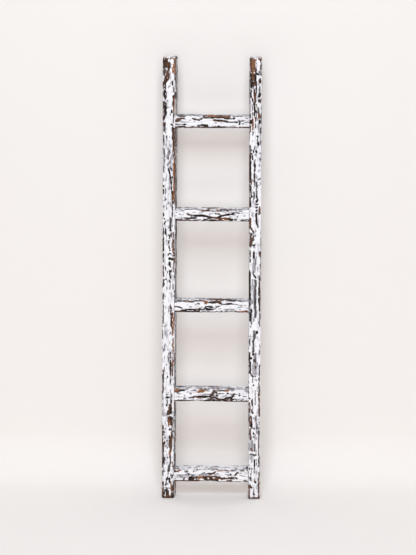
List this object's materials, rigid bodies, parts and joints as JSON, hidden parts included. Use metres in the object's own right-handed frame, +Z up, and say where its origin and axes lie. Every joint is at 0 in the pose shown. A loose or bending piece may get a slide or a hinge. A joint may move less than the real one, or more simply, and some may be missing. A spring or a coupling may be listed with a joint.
{
  "type": "decorative blanket ladder",
  "caption": "Small leaning ladder of hand-shaved square timbers: square rungs butt between two slightly splayed rails and are held by countersunk wood screws.",
  "frame": {"origin": "on the floor, in the middle of the two feet", "axes": "+Z up along the ladder, +X to the right seen from the front, front faces -Y; upright, not leaned back"},
  "size_m": [0.1686, 0.0234, 0.762],
  "materials": {
    "rail_paint": "brown-stained softwood under chipped, dry-brushed white paint",
    "rung_paint": "brown-stained softwood under chipped, dry-brushed white paint",
    "screw_steel": "zinc-plated, brushed over with the same white paint"
  },
  "bodies": {
    "root": {"left_rail": "rail_paint", "right_rail": "rail_paint", "rung_1": "rung_paint", "rung_2": "rung_paint", "rung_3": "rung_paint", "rung_4": "rung_paint", "rung_5": "rung_paint", "screw_left_1": "screw_steel", "screw_left_2": "screw_steel", "screw_left_3": "screw_steel", "screw_left_4": "screw_steel", "screw_left_5": "screw_steel", "screw_right_1": "screw_steel", "screw_right_2": "screw_steel", "screw_right_3": "screw_steel", "screw_right_4": "screw_steel", "screw_right_5": "screw_steel"}
  },
  "joints": []
}
